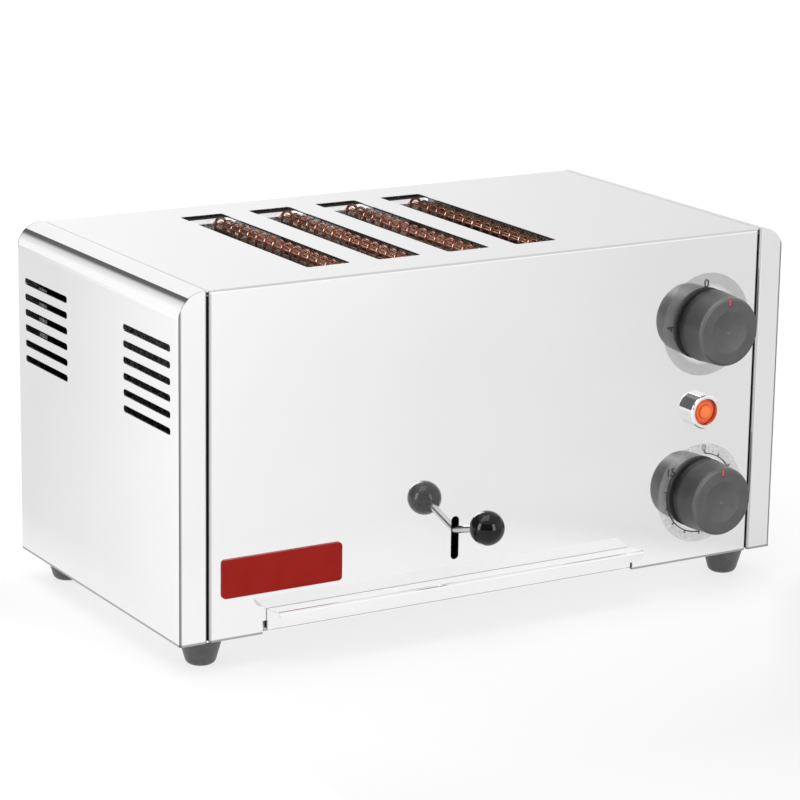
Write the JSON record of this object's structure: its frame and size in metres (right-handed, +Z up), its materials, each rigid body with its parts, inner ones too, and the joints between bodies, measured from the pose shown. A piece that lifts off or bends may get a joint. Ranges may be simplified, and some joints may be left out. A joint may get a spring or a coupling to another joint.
{
  "type": "slot toaster",
  "caption": "Box-shaped steel slot toaster with rounded end cheeks, rotary selector and timer knobs, a lamp, a ball-ended lift lever and a pull-out crumb tray.",
  "frame": {"origin": "on the worktop, at the middle of the overall box from the lever ball's front to the cord gland's end", "axes": "+Z up, +X to the right of someone facing the controls, -Y out of the front panel"},
  "size_m": [0.37, 0.246, 0.1989],
  "materials": {
    "polished_steel": "mirror-polished stainless sheet",
    "plain_steel": "plain bright steel",
    "galvanised_sheet": "galvanised sheet with a fine spangle",
    "chrome_ring": "bright chrome",
    "amber_lens": "clear amber moulding",
    "red_plate": "deep red gloss enamel",
    "dial_film": "clear printed film",
    "knob_plastic": "fine satin moulding",
    "ball_plastic": "polished phenolic",
    "foot_rubber": "matt grey rubber",
    "black_plastic": "moulded nylon",
    "pale_insulator": "mica and ceramic",
    "guard_wire": "copper-brown oxidised wire",
    "heating_ribbon": "dull resistance ribbon",
    "bus_brass": "plain brass"
  },
  "bodies": {
    "casing": {"folded_casing": "polished_steel", "left_end_cheek": "polished_steel", "right_end_cheek": "polished_steel", "base_plate": "plain_steel", "foot_nuts": "plain_steel", "cheek_screws": "plain_steel", "lever_bracket": "plain_steel", "lever_pivot_pin": "plain_steel", "guide_rods": "plain_steel", "guide_brackets": "plain_steel", "tray_runners": "plain_steel", "chamber_front_wall": "galvanised_sheet", "chamber_rear_wall": "galvanised_sheet", "chamber_left_wall": "galvanised_sheet", "chamber_right_wall": "galvanised_sheet", "timer_body": "galvanised_sheet", "lamp_bezel": "chrome_ring", "lamp_lens": "amber_lens", "badge_plate": "red_plate", "selector_scale": "dial_film", "timer_scale": "dial_film", "rubber_feet": "foot_rubber", "cord_gland": "black_plastic", "gland_nut": "black_plastic", "selector_switch": "black_plastic", "terminal_block": "pale_insulator", "lamp_body": "pale_insulator", "element_card_1": "pale_insulator", "element_card_2": "pale_insulator", "element_card_3": "pale_insulator", "element_card_4": "pale_insulator", "element_card_5": "pale_insulator", "element_guard_1": "guard_wire", "element_guard_2": "guard_wire", "element_guard_3": "guard_wire", "element_guard_4": "guard_wire", "element_guard_5": "guard_wire", "element_ribbon_1": "heating_ribbon", "element_ribbon_2": "heating_ribbon", "element_ribbon_3": "heating_ribbon", "element_ribbon_4": "heating_ribbon", "element_ribbon_5": "heating_ribbon", "upper_bus_bar": "bus_brass", "lower_bus_bar": "bus_brass"},
    "lever": {"lever_rod": "plain_steel", "lever_ball": "ball_plastic", "lever_arm": "plain_steel", "lever_drive_pin": "plain_steel"},
    "lift": {"lift_bar": "plain_steel", "lift_bushes": "bus_brass", "bread_rest_1": "plain_steel", "bread_rest_2": "plain_steel", "bread_rest_3": "plain_steel", "bread_rest_4": "plain_steel"},
    "selector": {"selector_knob": "knob_plastic", "selector_shaft": "plain_steel"},
    "timer": {"timer_knob": "knob_plastic", "timer_shaft": "plain_steel"},
    "tray": {"crumb_tray": "polished_steel"}
  },
  "joints": [
    {"name": "lever_press", "type": "hinge", "parent": "casing", "child": "lever", "pos_m": [-0.0231, -0.05545, 0.0472], "axis": [1, 0, 0], "range_deg": [0, 26]},
    {"name": "bread_lift", "type": "slide", "parent": "casing", "child": "lift", "axis": [0, 0, 1], "range_m": [0, 0.02876]},
    {"name": "selector_turn", "type": "hinge", "parent": "casing", "child": "selector", "pos_m": [0.1352, -0.08245, 0.1491], "axis": [0, 1, 0], "range_deg": [-90, 90]},
    {"name": "timer_turn", "type": "hinge", "parent": "casing", "child": "timer", "pos_m": [0.1352, -0.08245, 0.0539], "axis": [0, 1, 0], "range_deg": [0, 296]},
    {"name": "tray_slide", "type": "slide", "parent": "casing", "child": "tray", "axis": [0, -1, 0], "range_m": [0, 0.2]}
  ],
  "couplings": [
    {"joint": "bread_lift", "follows": "lever_press", "m_per_rad": 0.063334}
  ]
}
